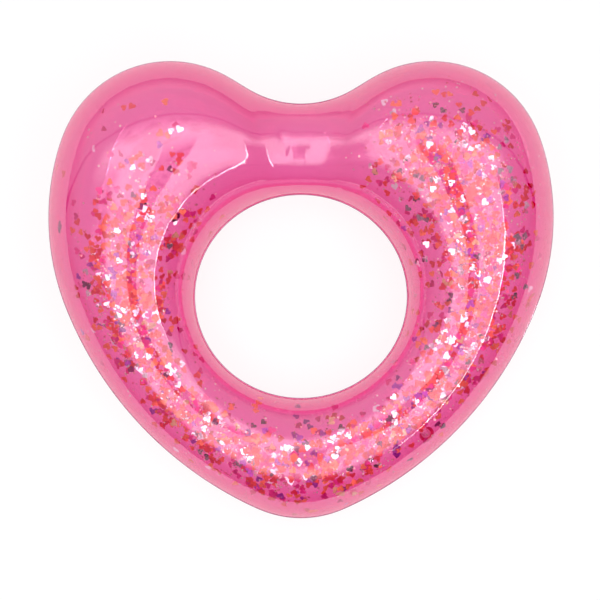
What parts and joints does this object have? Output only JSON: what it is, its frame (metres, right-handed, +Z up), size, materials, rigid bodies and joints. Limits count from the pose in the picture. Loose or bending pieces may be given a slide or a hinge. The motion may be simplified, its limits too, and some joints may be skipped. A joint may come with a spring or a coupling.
{
  "type": "inflatable swim ring",
  "caption": "Heart-shaped inflatable swim ring of clear tinted vinyl with a round centre hole, loose foil hearts inside and a push-in air valve underneath.",
  "frame": {"origin": "under the middle of the ring's box, on the surface that it rests on", "axes": "+Z up through the centre hole as the ring lies or floats, the heart's point towards -Y, its lobes towards +Y"},
  "size_m": [0.9074, 0.824, 0.2716],
  "materials": {
    "tinted_vinyl": "smooth clear pink-tinted soft vinyl film",
    "valve_vinyl": "soft moulded vinyl, slightly milky",
    "foil_red": "shiny metallised film",
    "foil_coral": "shiny metallised film",
    "foil_magenta": "shiny metallised film",
    "foil_violet": "shiny metallised film",
    "foil_silver": "shiny metallised film",
    "foil_gold": "shiny metallised film",
    "foil_plum": "shiny metallised film",
    "foil_speck": "shiny metallised film"
  },
  "bodies": {
    "ring": {"top_panel": "tinted_vinyl", "bottom_panel": "tinted_vinyl", "valve_base": "valve_vinyl", "hearts_red": "foil_red", "hearts_coral": "foil_coral", "hearts_magenta": "foil_magenta", "hearts_violet": "foil_violet", "hearts_silver": "foil_silver", "hearts_gold": "foil_gold", "hearts_plum": "foil_plum", "foil_specks": "foil_speck"},
    "stem": {"valve_stem": "valve_vinyl", "strap_ring": "valve_vinyl"},
    "plug": {"valve_plug": "valve_vinyl", "plug_strap": "valve_vinyl"},
    "flap": {"check_flap": "valve_vinyl"}
  },
  "joints": [
    {"name": "stem_slide", "type": "slide", "parent": "ring", "child": "stem", "axis": [0.4884, -0.4862, -0.7246], "range_m": [0, 0.012]},
    {"name": "plug_swing", "type": "hinge", "parent": "stem", "child": "plug", "pos_m": [0.22702, -0.27081, 0.04034], "axis": [-0.5136, 0.5112, -0.6891], "range_deg": [0, 140]},
    {"name": "flap_swing", "type": "hinge", "parent": "stem", "child": "flap", "pos_m": [0.21761, -0.25848, 0.0565], "axis": [0.5136, -0.5112, 0.6891], "range_deg": [0, 60], "stiffness_Nm_per_rad": 0.0004}
  ]
}
